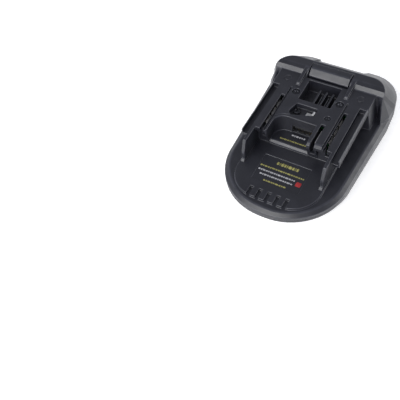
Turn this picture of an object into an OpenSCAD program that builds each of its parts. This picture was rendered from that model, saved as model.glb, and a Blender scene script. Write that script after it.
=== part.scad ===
/* [Shell] */
// Length of the body from the rounded nose to the rear
body_l = 122; // [118:1:150]
// Width of the body at the rear block
body_w = 82; // [80:1:100]
// Width of the body just behind the nose
nose_w = 76; // [74:1:80]
// Radius of the two nose corners
nose_r = 36; // [30:1:36]
// Radius of the two rear corners
rear_r = 20; // [14:1:22]
// Height of the lower housing, which is the height of the seam
lower_h = 17; // [16:0.5:22]
// How far each side of the lower housing leans in towards its foot
lower_draft = 2; // [0.5:0.25:2.4]
// How far the nose of the lower housing slopes back towards its foot
nose_rake = 12; // [8:0.5:13]
// Height of the flange above the seam
flange_h = 4; // [3.8:0.1:5]
// How far the flange edge is chamfered inwards
rim_in = 2.8; // [2:0.1:3]
// How far the flange edge is chamfered down
rim_drop = 1.8; // [1.2:0.1:2]
// Wall of both housings
wall = 2.2; // [1.8:0.1:2.4]

/* [Label deck] */
// Height of the label deck above the flange
deck_h = 1.8; // [1.6:0.1:2.4]
// Width of the label deck
deck_w = 54; // [50:1:60]
// Distance from the nose to the front edge of the deck
deck_setback = 6.3; // [5:0.1:8]
// Radius of the two front corners of the deck
deck_r = 18; // [12:1:20]
// Width of the sunken label field
label_w = 30; // [24:1:32]
// Length of the sunken label field
label_l = 19.5; // [14:0.5:20]
// Depth of the sunken label field
label_d = 0.4; // [0.2:0.1:0.6]
// Number of notches in the front edge of the deck
notch_n = 5; // [3:1:6]
// Width of one notch
notch_w = 2.2; // [1.6:0.1:2.6]
// Spacing of the notches
notch_pitch = 5.7; // [4.5:0.1:6.5]
// Length of one notch
notch_l = 6.4; // [5:0.1:7]

/* [Tool rails] */
// Width over the two rails
rail_w = 62; // [60:0.5:68]
// Width of the neck under the rails
neck_w = 52.2; // [51:0.2:54]
// Height of the platform above the flange
platform_h = 17; // [16:0.5:19]
// Thickness of the rail lips
lip_t = 5.5; // [5:0.1:6.5]
// Chamfer along the outer edge of the rail lips
lip_edge = 0.7; // [0.3:0.1:0.8]
// Width of the groove along each rail
groove_w = 3.9; // [2.6:0.1:4]
// Depth of the groove along each rail
groove_d = 3.5; // [2.5:0.1:3.8]
// Length of the solid shoulder behind the undercut
shoulder_l = 12.4; // [10:0.2:14]
// How far the foot of the shoulder stands out past the rail
shoulder_out = 2.5; // [2:0.1:3]
// Distance from the nose to the front of the cheeks
cheek_setback = 30.7; // [29:0.1:34]
// Length of the cheeks in front of the rails
cheek_l = 7.3; // [6:0.1:10]
// Thickness of the cheeks
cheek_t = 2; // [1.6:0.1:2.4]
// How far the foot of each cheek's front stands forward of its top
cheek_run = 3; // [1:0.1:3.4]
// Height of the sloping part of each cheek's front
cheek_slope_h = 8.6; // [7:0.1:10]
// Length of the low foot in front of each cheek
cheek_foot_l = 1.6; // [1.2:0.1:3]

/* [Terminal face] */
// Distance from the rail ends back to the platform's front edge
slab_setback = 4.7; // [4:0.1:6]
// Thickness of the platform's overhanging front edge
slab_t = 3.4; // [3:0.1:4]
// How far the front wall stands back under the edge
slab_over = 3.8; // [3:0.1:4.2]
// Run of the slope along the front edge beside the signal slot
slab_run = 2; // [1:0.1:2.4]
// Drop of the slope along the front edge beside the signal slot
slab_drop = 1.3; // [0.8:0.1:1.6]
// Distance between the inner edges of the two sunken strips
strip_gap = 35.6; // [35:0.2:36.4]
// Width of the sunken strips
strip_w = 1; // [0.8:0.1:1.2]
// Depth of the sunken strips
strip_d = 1.2; // [0.6:0.1:1.4]
// Spacing of the two power slots
power_pitch = 40.4; // [40:0.2:41]
// Width of a power slot
power_slot_w = 2.2; // [2:0.1:2.4]
// Length of a power slot
power_slot_l = 30.3; // [26:0.1:31]
// Width of the signal slot
signal_slot_w = 2.4; // [2:0.1:2.6]
// Thickness of the wall between pocket and signal slot
signal_wall = 2.2; // [1.6:0.1:2.4]
// Width of the socket window
window_w = 21; // [18:0.2:22]
// Length of the socket window
window_l = 17.1; // [14:0.1:18]
// Depth of the socket window
window_d = 9.1; // [7:0.1:9.2]
// Width of one bar in the socket window
bar_w = 1.2; // [1:0.1:1.4]
// Spacing of the bars
bar_pitch = 4.25; // [4:0.05:4.5]
// Width of the contact recess
recess_w = 15.6; // [14:0.2:16]
// Length of the contact recess
recess_l = 9.8; // [8:0.1:10]
// Depth of the contact recess
recess_d = 3.6; // [3:0.1:3.8]

/* [Charging pocket] */
// Width of the charging pocket
pocket_w = 25.2; // [24.5:0.1:26]
// Length of the charging pocket
pocket_l = 14.8; // [14:0.1:17]
// Height of the pocket floor above the deck
pocket_step = 2.6; // [2:0.1:2.8]
// Distance from the platform's front edge to the step
step_setback = 4.6; // [4:0.1:7]
// Run of the step's sloping front
step_run = 1.2; // [0.6:0.1:1.6]
// Rise of the step's sloping front
step_rise = 1.4; // [1:0.1:1.8]
// Radius of the pocket's rear left corner
pocket_r = 7; // [3:0.5:8]
// Width of the rim round the pocket's rear left corner
rim_w = 1.1; // [0.8:0.1:1.4]
// Sideways place of the charging socket
usb_x = -0.5; // [-1:0.1:1]
// Width of the socket's metal shell
usb_w = 13.2; // [13:0.1:13.4]
// Height of the socket's metal shell
usb_h = 5.7; // [5.5:0.1:6]
// Length of the socket's metal shell
usb_l = 13.8; // [13:0.1:14.4]

/* [Rear block] */
// Length of the rear block
block_l = 28.6; // [27:0.2:31]
// Height of the rear block above the platform
block_h = 3; // [2.5:0.1:4]
// Height of the widest line of the rear block above the seam
ear_h = 9; // [8:0.5:11]
// Run of the sloping rear face
rear_run = 17.8; // [16:0.2:19]
// How far the front of the block stands out past the foot of the shoulder
block_out = 2.5; // [2:0.1:3]
// How far each side of the block leans in towards its top
block_lean = 1.1; // [0.6:0.1:1.4]
// Radius of the corners of the rear block's top
top_r = 10.5; // [8:0.5:10.5]
// Run of the front slope
foot_run = 2.6; // [2:0.1:3]
// How far the foot of each ear reaches in front of the block
ear_l = 5.2; // [3:0.1:6]
// How far the foot of each ear stands out past the block's front corner
ear_out = 1.4; // [1:0.1:1.8]
// Width of the guide ribs beside the latch
rib_w = 2.2; // [1.6:0.1:2.4]
// Spacing of the guide ribs
rib_pitch = 31.2; // [30.4:0.2:32]
// Length of the guide ribs in front of the block
rib_l = 9.9; // [6:0.1:10.4]
// Height of the guide ribs at their front end
rib_tip_h = 1.6; // [1.2:0.1:2]

/* [Latch] */
// Width of the latch hook
hook_w = 26; // [24:0.5:27]
// Length of the latch hook
hook_l = 8; // [7:0.1:8.2]
// Height of the hook above the platform
hook_h = 3.3; // [3:0.1:3.4]
// Run of the sloping front of the hook
hook_run = 3.8; // [3:0.1:4.5]
// Width of the thumb button
button_w = 31.6; // [28:0.2:34]
// How far the button lies below the slope around it
button_in = 1; // [0.6:0.1:1.2]
// Thickness of the button
button_t = 2.4; // [2:0.1:2.6]
// Travel of the latch
travel = 3.6; // [3.4:0.1:3.8]
// Gap around the latch
latch_gap = 0.5; // [0.4:0.05:0.6]
// Outer diameter of a latch spring
spring_d = 6; // [5:0.2:6.4]
// Diameter of the spring wire
spring_wire = 0.8; // [0.7:0.05:0.9]
// Number of turns in a latch spring
spring_turns = 4.5; // [4:0.5:4.5]
// Spacing of the two springs
spring_pitch = 18; // [16:0.5:18]

/* [Battery bay] */
// Width of the bay above its ledges
bay_w = 61; // [56:0.5:62]
// Width of the mouth between the ledges
mouth_w = 51; // [46:0.5:53]
// Height of the ledges
ledge_h = 4.5; // [4:0.1:5]
// Distance from the nose to the closed end of the bay
bay_setback = 34; // [33:0.5:37]
// Width of the terminal block over and above the spacing of the power blades
terminal_w = 12; // [11:0.5:16]
// Length of the terminal block
terminal_l = 12; // [11:0.5:14]
// Height of the terminal block
terminal_h = 9.8; // [9:0.1:10]
// Spacing of the two power blades
blade_pitch = 24; // [22:0.5:25]
// Spacing of the signal blades
signal_pitch = 4; // [3.5:0.1:4.5]
// Thickness of a power blade
blade_t = 1; // [0.8:0.1:1.2]
// Height of a blade
blade_h = 7; // [6:0.1:7.2]
// Length of a blade in front of its block
blade_l = 16; // [12:0.5:18]

/* [Electronics] */
// Thickness of the circuit board
board_t = 1.6; // [1.2:0.2:1.6]
// Width of the circuit board
board_w = 45.6; // [45:0.1:46]
// Thickness of the contact metal
leaf_t = 0.6; // [0.5:0.05:0.65]
// Diameter of the choke
choke_d = 10; // [8:0.5:11]
// Height of the choke
choke_h = 5; // [4:0.1:5.4]
// Diameter of a capacitor
cap_d = 6.3; // [5:0.1:6.5]
// Height of a capacitor
cap_h = 5.6; // [5:0.1:5.8]
// Diameter of the power wires
power_wire_d = 2; // [1.6:0.1:2.2]
// Diameter of the signal wires
signal_wire_d = 1.2; // [0.9:0.1:1.3]

/* [Fasteners] */
// Shank diameter of the housing screws
case_screw_d = 2.6; // [2.2:0.1:3]
// Head diameter of the housing screws
case_head_d = 4.6; // [4.2:0.1:4.8]
// Shank length of the housing screws
case_screw_l = 15; // [14.5:0.1:15.4]
// Shank diameter of the small screws
small_screw_d = 2; // [1.6:0.1:2.2]
// Head diameter of the small screws
small_head_d = 4.4; // [4:0.1:4.8]
// Gap around a screw
screw_gap = 0.1; // [0.08:0.01:0.15]

/* [Hidden] */
$fn = 48;
eps = 0.1;

// Heights
seam_z = lower_h;
flange_z = seam_z + flange_h;
deck_z = flange_z + deck_h;
floor_z = deck_z + pocket_step;
platform_z = flange_z + platform_h;
lip_z = platform_z - lip_t;
groove_z = platform_z - groove_d;
under_z = platform_z - wall;
block_z = platform_z + block_h;
ear_z = seam_z + ear_h;
window_z = platform_z - window_d;
recess_z = platform_z - recess_d;
bay_z = seam_z - wall;

// Places along the body
y_front = -body_l / 2;
y_rear = body_l / 2;
cheek_y = y_front + cheek_setback;
rail_y = cheek_y + cheek_l;
platform_y = rail_y + slab_setback;
front_wall_y = platform_y + slab_over;
block_y = y_rear - block_l;
block_in_y = block_y + foot_run + wall;
top_y = y_rear - rear_run;
undercut_y = block_y - shoulder_l;
groove_y = undercut_y - 1.1;
strip_y = undercut_y - 0.2;
deck_y = y_front + deck_setback;
notch_y = deck_y + notch_l;
label_y = rail_y - 0.5;
latch_y = block_y + 0.4;
slot_y = block_y - 1.5;
window_y = slot_y - 1.4;
step_y = platform_y + step_setback;
pocket_y = platform_y + pocket_l;
recess_y = pocket_y + 2.4;
bay_y = y_front + bay_setback;

// Places across the body
strip_x = strip_gap / 2;
rail_x = rail_w / 2;
neck_x = neck_w / 2;
power_x = power_pitch / 2;
pocket_x1 = 8.4;
pocket_x0 = pocket_x1 - pocket_w;
signal_x0 = pocket_x1 + signal_wall;
signal_x1 = signal_x0 + signal_slot_w;
well_wall = 1.6;
shoulder_x = rail_x + shoulder_out;
block_x = shoulder_x + block_out;
top_x = block_x - block_lean;
recess_x0 = -11.4;
first_bar_x = -1.6;
bar_gap = 3.4;
bar_drop = 2.4;
bar_x = [for (i = [0:2]) first_bar_x + i * bar_pitch];

// Charging socket, and the board that carries it
board_z = floor_z + 0.1;
board_y0 = pocket_y + well_wall + 0.4;
board_y1 = slot_y - 3.4;
arm_y = front_wall_y + wall + 0.8;
usb_x0 = usb_x - usb_w / 2;
usb_x1 = usb_x + usb_w / 2;
usb_gap = 0.4;
usb_y = window_y - window_l - well_wall - usb_gap - usb_l;
shell_t = 0.35;
usb_base_l = 3;
tongue_t = 1.9;
tongue_z = board_z + usb_h - shell_t - 0.75 - tongue_t;
usb_pin_w = 1;
usb_pin_t = 0.25;
usb_pin_pitch = 2.3;
board_under = board_z - board_t;
choke_xy = [-7, board_y0 + 13.5];

// Screw places
nose_screw_x = nose_w / 2 - 16;
nose_screw_y = bay_y - 9;
rear_screw_y = y_rear - 24;
rear_screw_x = (bay_w / 2 + side_x(rear_screw_y) - lower_draft) / 2;
case_screw_xy = [
    [nose_screw_x, nose_screw_y], [rear_screw_x, rear_screw_y],
    [-nose_screw_x, nose_screw_y], [-rear_screw_x, rear_screw_y]
];
case_seat_z = seam_z - 11;
case_pillar_d = case_head_d + 1.6;
top_screw_xy = [[14.1, window_y - window_l + 4.9], [-14.1, window_y - window_l + 4.9]];
star_screw_xy = [12, recess_y + 5.3];
star_screw_d = 1.6;
star_head_d = 3.4;
star_screw_l = 3.4;
star_seat_z = platform_z - 1;
top_screw_l = 7.6;
top_seat_z = platform_z - 1.2;
detect_screw_xy = [recess_x0 + 3.6, recess_y + 6.1];
detect_screw_l = 2.2;
mark_d = 4.6;
mark_depth = 0.3;
mark_xy = [[23.8, block_y - 6.4], [-23.8, block_y - 6.4]];
board_screw_xy = [
    [18, board_y1 - 5], [-18, board_y1 - 5], [14.8, board_y0 + 3.8], [-14.8, board_y0 + 3.8]
];
post_d = 5.5;
terminal_x = (blade_pitch + terminal_w) / 2;
terminal_screw_xy = [[terminal_x - 2.6, bay_y + 6], [2.6 - terminal_x, bay_y + 6]];

// Latch springs
spring_y = y_rear - 15;
web_z = seam_z + 9;
web_t = 4;
peg_h = 2.2;
button_setback = 1.7;

// Battery blades
blade_z = bay_z - 1.3 - blade_h;
blade_y1 = bay_y + terminal_l + blade_l;
tail_y0 = bay_y + 3;
tail_y1 = tail_y0 + 4;
tail_z = seam_z + 3.4;
wire_z = seam_z + 1.9;
signal_blade_x = [for (i = [-1:1]) i * signal_pitch];
blade_x = concat([-blade_pitch / 2, blade_pitch / 2], signal_blade_x);

function arc(cx, cy, r, a0, a1, n = 16) =
    [for (i = [0:n]) [cx + r * cos(a0 + (a1 - a0) * i / n), cy + r * sin(a0 + (a1 - a0) * i / n)]];

function mirrored(p) = [for (i = [len(p) - 1:-1:0]) [-p[i].x, p[i].y]];

// Half width of the body along its straight sides
function side_x(y) =
    let (y0 = y_front + nose_r, y1 = y_rear - rear_r)
    nose_w / 2 + (body_w - nose_w) / 2 * (y - y0) / (y1 - y0);

function rear_corner(i) = arc(body_w / 2 - rear_r, y_rear - rear_r, rear_r - i, 0, 90);

function nose_corner(i, rake) = arc(nose_w / 2 - nose_r, y_front + rake + nose_r, nose_r - i, -90, 0);

// Outline of the body, drawn in by i all round and by rake at the nose
function body_outline(i, rake = 0) =
    let (half = concat(nose_corner(i, rake), rear_corner(i)))
    concat(half, mirrored(half));

function block_outline(i) =
    let (half = concat([[block_x - i, block_y + i]], rear_corner(i)))
    concat(half, mirrored(half));

function top_outline(i) =
    let (
        r = min(top_r, top_y - block_y - eps),
        half = concat([[top_x - i, block_y + i]], arc(top_x - r, top_y - r, r - i, 0, 90))
    )
    concat(half, mirrored(half));

function deck_outline() =
    let (half = concat(arc(deck_w / 2 - deck_r, deck_y + deck_r, deck_r, -90, 0), [[deck_w / 2, step_y]]))
    concat(half, mirrored(half));

// Height of the sloping rear face, lowered by d
function slope_z(y, d) =
    let (rise = block_z - ear_z, run = rear_run)
    block_z - rise * (y - top_y) / run - d * norm([rise, run]) / run;

function unit(v) = v / norm(v);

function along(path, i) = unit(path[min(i + 1, len(path) - 1)] - path[max(i - 1, 0)]);

module box(x0, x1, y0, y1, z0, z1) {
    translate([x0, y0, z0])
        cube([x1 - x0, y1 - y0, z1 - z0]);
}

module slab(points, z0, z1) {
    translate([0, 0, z0])
        linear_extrude(z1 - z0)
            polygon(points);
}

// Outline in Y and Z, run along X
module prism_x(points, x0, x1) {
    translate([x0, 0, 0])
        rotate([90, 0, 90])
            linear_extrude(x1 - x0)
                polygon(points);
}

// Outline in X and Z, run along Y
module prism_y(points, y0, y1) {
    translate([0, y1, 0])
        rotate([90, 0, 0])
            linear_extrude(y1 - y0)
                polygon(points);
}

module both_sides() {
    children();
    mirror([1, 0, 0])
        children();
}

module rod(p, d, z0, z1) {
    translate([p.x, p.y, z0])
        cylinder(d = d, h = z1 - z0);
}

// Tube along a path, with its sides set out from the direction up
module tube(path, r, up, sides = 8) {
    n = len(path);
    points = [
        for (i = [0:n - 1])
            let (t = along(path, i), u = unit(cross(t, up)), v = cross(u, t))
            for (k = [0:sides - 1]) path[i] + r * (cos(360 * k / sides) * u + sin(360 * k / sides) * v)
    ];
    walls = [
        for (i = [0:n - 2], k = [0:sides - 1])
            let (a = i * sides + k, b = i * sides + (k + 1) % sides)
            each [[a, b, a + sides], [b, b + sides, a + sides]]
    ];
    ends = [
        for (k = [1:sides - 2])
            each [[0, k + 1, k], [(n - 1) * sides, (n - 1) * sides + k, (n - 1) * sides + k + 1]]
    ];
    polyhedron(points, concat(walls, ends));
}

// Screw with a cross recess, head up, seated at height z
module screw(p, z, d, head_d, head_h, length) {
    arm = head_d * 0.32;
    slit = head_d * 0.14;
    translate([p.x, p.y, z])
        difference() {
            union() {
                cylinder(d = head_d, h = head_h);
                translate([0, 0, -length])
                    cylinder(d = d, h = length + eps);
            }
            for (a = [0, 90])
                rotate([0, 0, a])
                    translate([-arm, -slit / 2, head_h * 0.45])
                        cube([2 * arm, slit, head_h]);
        }
}

module body_slab(i, z0, z1) {
    slab(body_outline(i), z0, z1);
}

module flange_form() {
    hull() {
        body_slab(0, seam_z, flange_z - rim_drop);
        body_slab(rim_in, flange_z - 0.2, flange_z);
    }
}

module block_form(i) {
    hull() {
        slab(block_outline(i), seam_z, ear_z - i);
        slab(top_outline(i), block_z - i - 0.4, block_z - i);
    }
}

// Slope across the front of the rear block
module block_front() {
    prism_x([
        [block_y - eps, platform_z], [block_y, platform_z],
        [block_y + 0.8 * foot_run, platform_z + 0.75 * block_h],
        [block_y + 2 * foot_run, block_z + eps], [block_y - eps, block_z + eps]
    ], -block_x, block_x);
}

module cheek() {
    y0 = cheek_y - cheek_run;
    foot_y = y0 - cheek_foot_l;
    prism_x([
        [platform_y + eps, seam_z], [platform_y + eps, platform_z], [cheek_y, platform_z],
        [y0, platform_z - cheek_slope_h], [y0, deck_z + 1.6], [y0 - 0.6, deck_z + 1.6],
        [foot_y, deck_z + 0.2], [foot_y, seam_z]
    ], neck_x - cheek_t, neck_x);
}

module guide_rib() {
    tip_y = block_y - rib_l;
    y1 = block_y + foot_run;
    prism_x([
        [tip_y, platform_z - eps], [tip_y, platform_z + rib_tip_h / 2],
        [tip_y + rib_tip_h / 2, platform_z + rib_tip_h], [y1, block_z - 0.1], [y1 + 3, block_z - 0.1],
        [y1 + 3, platform_z - eps]
    ], rib_pitch / 2 - rib_w / 2, rib_pitch / 2 + rib_w / 2);
}

// Fin that carries each side of the rear block forward and down to the rim
module ear() {
    x0 = shoulder_x - 0.3;
    x1 = body_w / 2 - 0.1;
    y1 = y_rear - rear_r;
    rim_y = block_y + 2;
    hull() {
        slab([
            [x0, block_y - 0.9], [block_x + ear_out, block_y - ear_l], [side_x(rim_y) - 0.1, rim_y],
            [x1, y1], [x0, y1]
        ], flange_z - rim_drop, flange_z + 0.4);
        slab([[x0, block_y + 0.6], [block_x - block_lean, block_y + 0.2], [x0, y1 - 1]],
            platform_z - 0.6, platform_z - 0.2);
    }
}

module housing_outside() {
    flange_form();
    slab(deck_outline(), seam_z, deck_z);
    box(-neck_x, neck_x, platform_y, block_y, seam_z, platform_z);
    both_sides() {
        cheek();
        prism_y([
            [neck_x - eps, lip_z], [rail_x, lip_z], [rail_x, platform_z - lip_edge],
            [rail_x - lip_edge, platform_z], [neck_x - eps, platform_z]
        ], rail_y, undercut_y + eps);
        guide_rib();
    }
    prism_y([
        [-rail_x, platform_z], [rail_x, platform_z], [shoulder_x, flange_z - 1],
        [-shoulder_x, flange_z - 1]
    ], undercut_y, block_y);
    difference() {
        block_form(0);
        block_front();
    }
    both_sides()
        ear();
}

module housing_hollow() {
    body_slab(wall + 0.2, seam_z - eps, flange_z - wall);
    deck_x = neck_x - cheek_t - wall;
    box(-deck_x, deck_x, notch_y + wall, front_wall_y + wall + eps, seam_z - eps, deck_z - wall);
    box(wall - neck_x, neck_x - wall, front_wall_y + wall, block_in_y + 2, seam_z - eps, under_z);
    intersection() {
        translate([0, 0, -eps])
            block_form(wall);
        box(-body_w, body_w, block_in_y, y_rear, seam_z - 1, block_z);
    }
}

// Wells round the pockets, and the bosses of the screws
module housing_wells() {
    window_half = window_w / 2 + well_wall;
    box(pocket_x0 - well_wall, signal_x1 + well_wall, platform_y, pocket_y + well_wall,
        floor_z - wall, platform_z);
    box(-window_half, window_half, window_y - window_l - well_wall, slot_y, window_z - well_wall, platform_z);
    box(recess_x0 - well_wall, recess_x0 + recess_w + well_wall, recess_y - well_wall,
        recess_y + recess_l + well_wall, recess_z - well_wall, platform_z);
    for (p = top_screw_xy)
        rod(p, post_d, top_seat_z - top_screw_l - 0.8, platform_z);
    rod(star_screw_xy, star_head_d + 1.2, star_seat_z - star_screw_l - 0.8, platform_z);
    rod(detect_screw_xy, post_d, recess_z - detect_screw_l - 0.4, recess_z);
    intersection() {
        for (p = case_screw_xy)
            rod(p, case_pillar_d, seam_z, case_seat_z + case_screw_l + 4);
        union() {
            flange_form();
            slab(deck_outline(), seam_z, deck_z);
            block_form(0);
        }
    }
}

module pocket_cut() {
    corner = arc(pocket_x0 + pocket_r, pocket_y - pocket_r, pocket_r, 180, 90, 12);
    front = [[pocket_x1, pocket_y], [pocket_x1, step_y], [pocket_x0, step_y]];
    slab(concat(corner, front), floor_z, platform_z + eps);
    prism_x([
        [platform_y - eps, deck_z], [step_y - step_run, deck_z], [step_y - step_run, floor_z - step_rise],
        [step_y, floor_z], [step_y + eps, floor_z], [step_y + eps, platform_z + eps],
        [platform_y - eps, platform_z + eps]
    ], pocket_x0, pocket_x1);
    rim_r = pocket_r + rim_w;
    rim = [pocket_x0 + pocket_r, pocket_y - pocket_r];
    slab(concat(arc(rim.x, rim.y, rim_r, 180, 90, 12), arc(rim.x, rim.y, rim_r + 0.8, 90, 180, 12)),
        platform_z - 0.5, platform_z + eps);
    box(usb_x0 - eps, usb_x1 + eps, pocket_y - eps, pocket_y + well_wall + eps,
        board_z - eps, board_z + usb_h + eps);
}

module window_cut() {
    difference() {
        box(-window_w / 2, window_w / 2, window_y - window_l, window_y, window_z, platform_z + eps);
        for (x = bar_x)
            box(x - bar_w / 2, x + bar_w / 2, window_y - window_l - eps, window_y - bar_gap,
                window_z - eps, platform_z - bar_drop);
    }
}

module recess_cut() {
    r = 3;
    x1 = recess_x0 + recess_w;
    y1 = recess_y + recess_l;
    slab(concat(
        arc(recess_x0 + r, recess_y + r, r, 180, 270, 8), [[x1, recess_y + 4.2]],
        arc(x1 - 1, y1 - 1, 1, 0, 90, 4), [[recess_x0 + 1.9, y1]]
    ), recess_z, platform_z + eps);
}

module terminal_cuts() {
    both_sides() {
        box(power_x - power_slot_w / 2, power_x + power_slot_w / 2, platform_y - eps,
            platform_y + power_slot_l, floor_z + 2, platform_z + eps);
        box(strip_x, strip_x + strip_w, platform_y - eps, strip_y, platform_z - strip_d, platform_z + eps);
        box(neck_x, neck_x + groove_w, rail_y - eps, groove_y, groove_z, platform_z + eps);
    }
    box(signal_x0, signal_x1, platform_y - eps, recess_y, floor_z + 2.4, platform_z + eps);
    box(signal_x1 + well_wall, neck_x - cheek_t, platform_y - eps, front_wall_y, deck_z, platform_z - slab_t);
    box(cheek_t - neck_x, pocket_x0 - well_wall, platform_y - eps, front_wall_y, deck_z, platform_z - slab_t);
    for (x = [[pocket_x0 - well_wall - eps, pocket_x0 + eps], [pocket_x1 - eps, signal_x1 + well_wall + eps]])
        prism_x([
            [platform_y - eps, deck_z], [front_wall_y, deck_z], [platform_y - eps, platform_z - slab_t]
        ], x[0], x[1]);
    prism_x([
        [platform_y - eps, platform_z - slab_drop], [platform_y, platform_z - slab_drop],
        [platform_y + slab_run, platform_z], [platform_y + slab_run, platform_z + eps],
        [platform_y - eps, platform_z + eps]
    ], pocket_x1 - eps, strip_x);
}

module deck_cuts() {
    box(-label_w / 2, label_w / 2, label_y - label_l, label_y, deck_z - label_d, deck_z + eps);
    for (i = [0:notch_n - 1])
        translate([(i - (notch_n - 1) / 2) * notch_pitch, 0, 0])
            box(-notch_w / 2, notch_w / 2, deck_y - eps, notch_y, flange_z, deck_z + eps);
}

module latch_cuts() {
    hook_x = hook_w / 2 + latch_gap;
    y0 = top_y + button_setback;
    box(-hook_x, hook_x, slot_y, latch_y + hook_l + 0.4, web_z, block_z + eps);
    prism_x([
        [y0, slope_z(y0, 5) - 2], [y0, block_z + eps], [y_rear + 1, block_z + eps],
        [y_rear + 1, seam_z - eps], [y_rear - 9, seam_z - eps]
    ], -button_w / 2 - latch_gap, button_w / 2 + latch_gap);
}

module screw_cuts() {
    for (p = top_screw_xy) {
        rod(p, small_head_d + 0.6, top_seat_z, platform_z + eps);
        rod(p, small_screw_d + screw_gap, top_seat_z - top_screw_l - 0.4, platform_z);
    }
    rod(star_screw_xy, star_head_d + 0.4, star_seat_z, platform_z + eps);
    rod(star_screw_xy, star_screw_d + screw_gap, star_seat_z - star_screw_l - 0.2, platform_z);
    rod(detect_screw_xy, small_screw_d + screw_gap, recess_z - detect_screw_l - 0.2, recess_z + eps);
    for (p = case_screw_xy)
        rod(p, case_screw_d + screw_gap, seam_z - eps, case_seat_z + case_screw_l + 0.3);
    for (p = mark_xy)
        difference() {
            rod(p, mark_d, platform_z - mark_depth, platform_z + eps);
            rod(p, mark_d - 1.2, platform_z - mark_depth - eps, platform_z + 2 * eps);
        }
}

module upper_housing() {
    color("#2c2e37")
        difference() {
            union() {
                difference() {
                    housing_outside();
                    housing_hollow();
                }
                housing_wells();
            }
            pocket_cut();
            window_cut();
            recess_cut();
            terminal_cuts();
            deck_cuts();
            latch_cuts();
            screw_cuts();
        }
}

module lower_form(i) {
    hull() {
        slab(body_outline(lower_draft + i, nose_rake), 0, 0.2);
        body_slab(i, seam_z - 2, seam_z);
    }
}

module bay_cut() {
    box(-bay_w / 2, bay_w / 2, bay_y, y_rear + 1, ledge_h, bay_z);
    box(-mouth_w / 2, mouth_w / 2, bay_y, y_rear + 1, -eps, ledge_h + eps);
}

module lower_solid() {
    difference() {
        lower_form(0);
        translate([0, 0, wall])
            lower_form(wall);
    }
    intersection() {
        lower_form(0);
        union() {
            box(-bay_w / 2 - wall, bay_w / 2 + wall, bay_y - wall, y_rear, 0, seam_z);
            for (p = case_screw_xy)
                rod(p, case_pillar_d, 0, seam_z);
        }
    }
    for (p = board_screw_xy)
        rod(p, post_d, seam_z - eps, board_z - board_t);
    both_sides()
        rod([spring_pitch / 2, spring_y], spring_d - 2 * spring_wire - 0.6, seam_z - eps, seam_z + peg_h);
}

module lower_housing() {
    color("#2a2c34")
        difference() {
            lower_solid();
            bay_cut();
            for (p = case_screw_xy) {
                rod(p, case_head_d + 0.6, -eps, case_seat_z);
                rod(p, case_screw_d + 0.4, case_seat_z - eps, seam_z + eps);
            }
            for (p = board_screw_xy)
                rod(p, small_screw_d + screw_gap, seam_z + 1, board_z);
            for (p = terminal_screw_xy)
                rod(p, small_screw_d + 0.4, bay_z - eps, seam_z + eps);
            for (x = blade_x)
                box(x - blade_t / 2 - 0.2, x + blade_t / 2 + 0.2, tail_y0 - 0.3, tail_y1 + 0.3,
                    bay_z - eps, seam_z + eps);
        }
}

module release_latch() {
    y1 = latch_y + hook_l;
    b0 = top_y + button_setback + latch_gap;
    b1 = y_rear - 1.6;
    bend_y = b1 - button_t;
    under = button_in + button_t;
    skirt_z = seam_z + travel + 0.6;
    ear_x = hook_w / 2 + 3;
    color("#3c3e46") {
        prism_x([
            [latch_y, web_z], [latch_y, platform_z], [latch_y + hook_run, platform_z + hook_h],
            [y1, platform_z + hook_h], [y1, web_z]
        ], -hook_w / 2, hook_w / 2);
        box(-ear_x, ear_x, block_in_y + 0.6, y1, web_z + web_t, block_z - wall - 0.4);
        prism_x([
            [latch_y, web_z], [latch_y, web_z + web_t], [b1 - 8, web_z + web_t], [b1 - 3, web_z]
        ], 1 - hook_w / 2, hook_w / 2 - 1);
        prism_x([
            [b0, slope_z(b0, button_in)], [b1, slope_z(b1, button_in)], [b1, skirt_z], [bend_y, skirt_z],
            [bend_y, slope_z(bend_y, under)], [b0, slope_z(b0, under)]
        ], -button_w / 2, button_w / 2);
    }
}

module latch_springs() {
    r = (spring_d - spring_wire) / 2;
    z0 = seam_z + spring_wire / 2;
    z1 = web_z - spring_wire / 2;
    n = ceil(16 * spring_turns);
    turn = 360 * spring_turns / n;
    rise = (z1 - z0) / n;
    coil = [for (i = [0:n]) [r * cos(turn * i), r * sin(turn * i), z0 + rise * i]];
    color("#c4c6cc")
        both_sides()
            translate([spring_pitch / 2, spring_y, 0])
                tube(coil, spring_wire / 2, [0, 0, 1], 6);
}

// Two leaves on a foot, with a gap between them for a blade
module power_contact() {
    y1 = platform_y + power_slot_l - 1.6;
    gap = 1.3;
    box(power_x - gap / 2 - leaf_t, power_x + gap / 2 + leaf_t, arm_y + 0.4, y1, board_z, board_z + leaf_t);
    for (x = [power_x - gap / 2 - leaf_t, power_x + gap / 2])
        for (k = [0:2])
            let (l = (y1 - arm_y - 0.4) / 3)
            box(x, x + leaf_t, arm_y + 0.4 + k * l, arm_y + 0.4 + k * l + l - 1, board_z, under_z - 0.3);
}

module power_contact_positive() {
    color("#cfc7b2")
        mirror([1, 0, 0])
            power_contact();
}

module power_contact_negative() {
    color("#cfc7b2")
        power_contact();
}

module signal_contact() {
    x = (signal_x0 + signal_x1) / 2;
    color("#cfc7b2")
        box(x - leaf_t / 2, x + leaf_t / 2, platform_y + 5.3, recess_y - 2, floor_z + 2.4, platform_z - 3.4);
}

module socket_contacts() {
    color("#cfc7b2")
        for (x = bar_x)
            box(x + (bar_pitch - leaf_t) / 2, x + (bar_pitch + leaf_t) / 2, window_y - window_l + 3,
                window_y - 6, window_z, window_z + 4.6);
}

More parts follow.
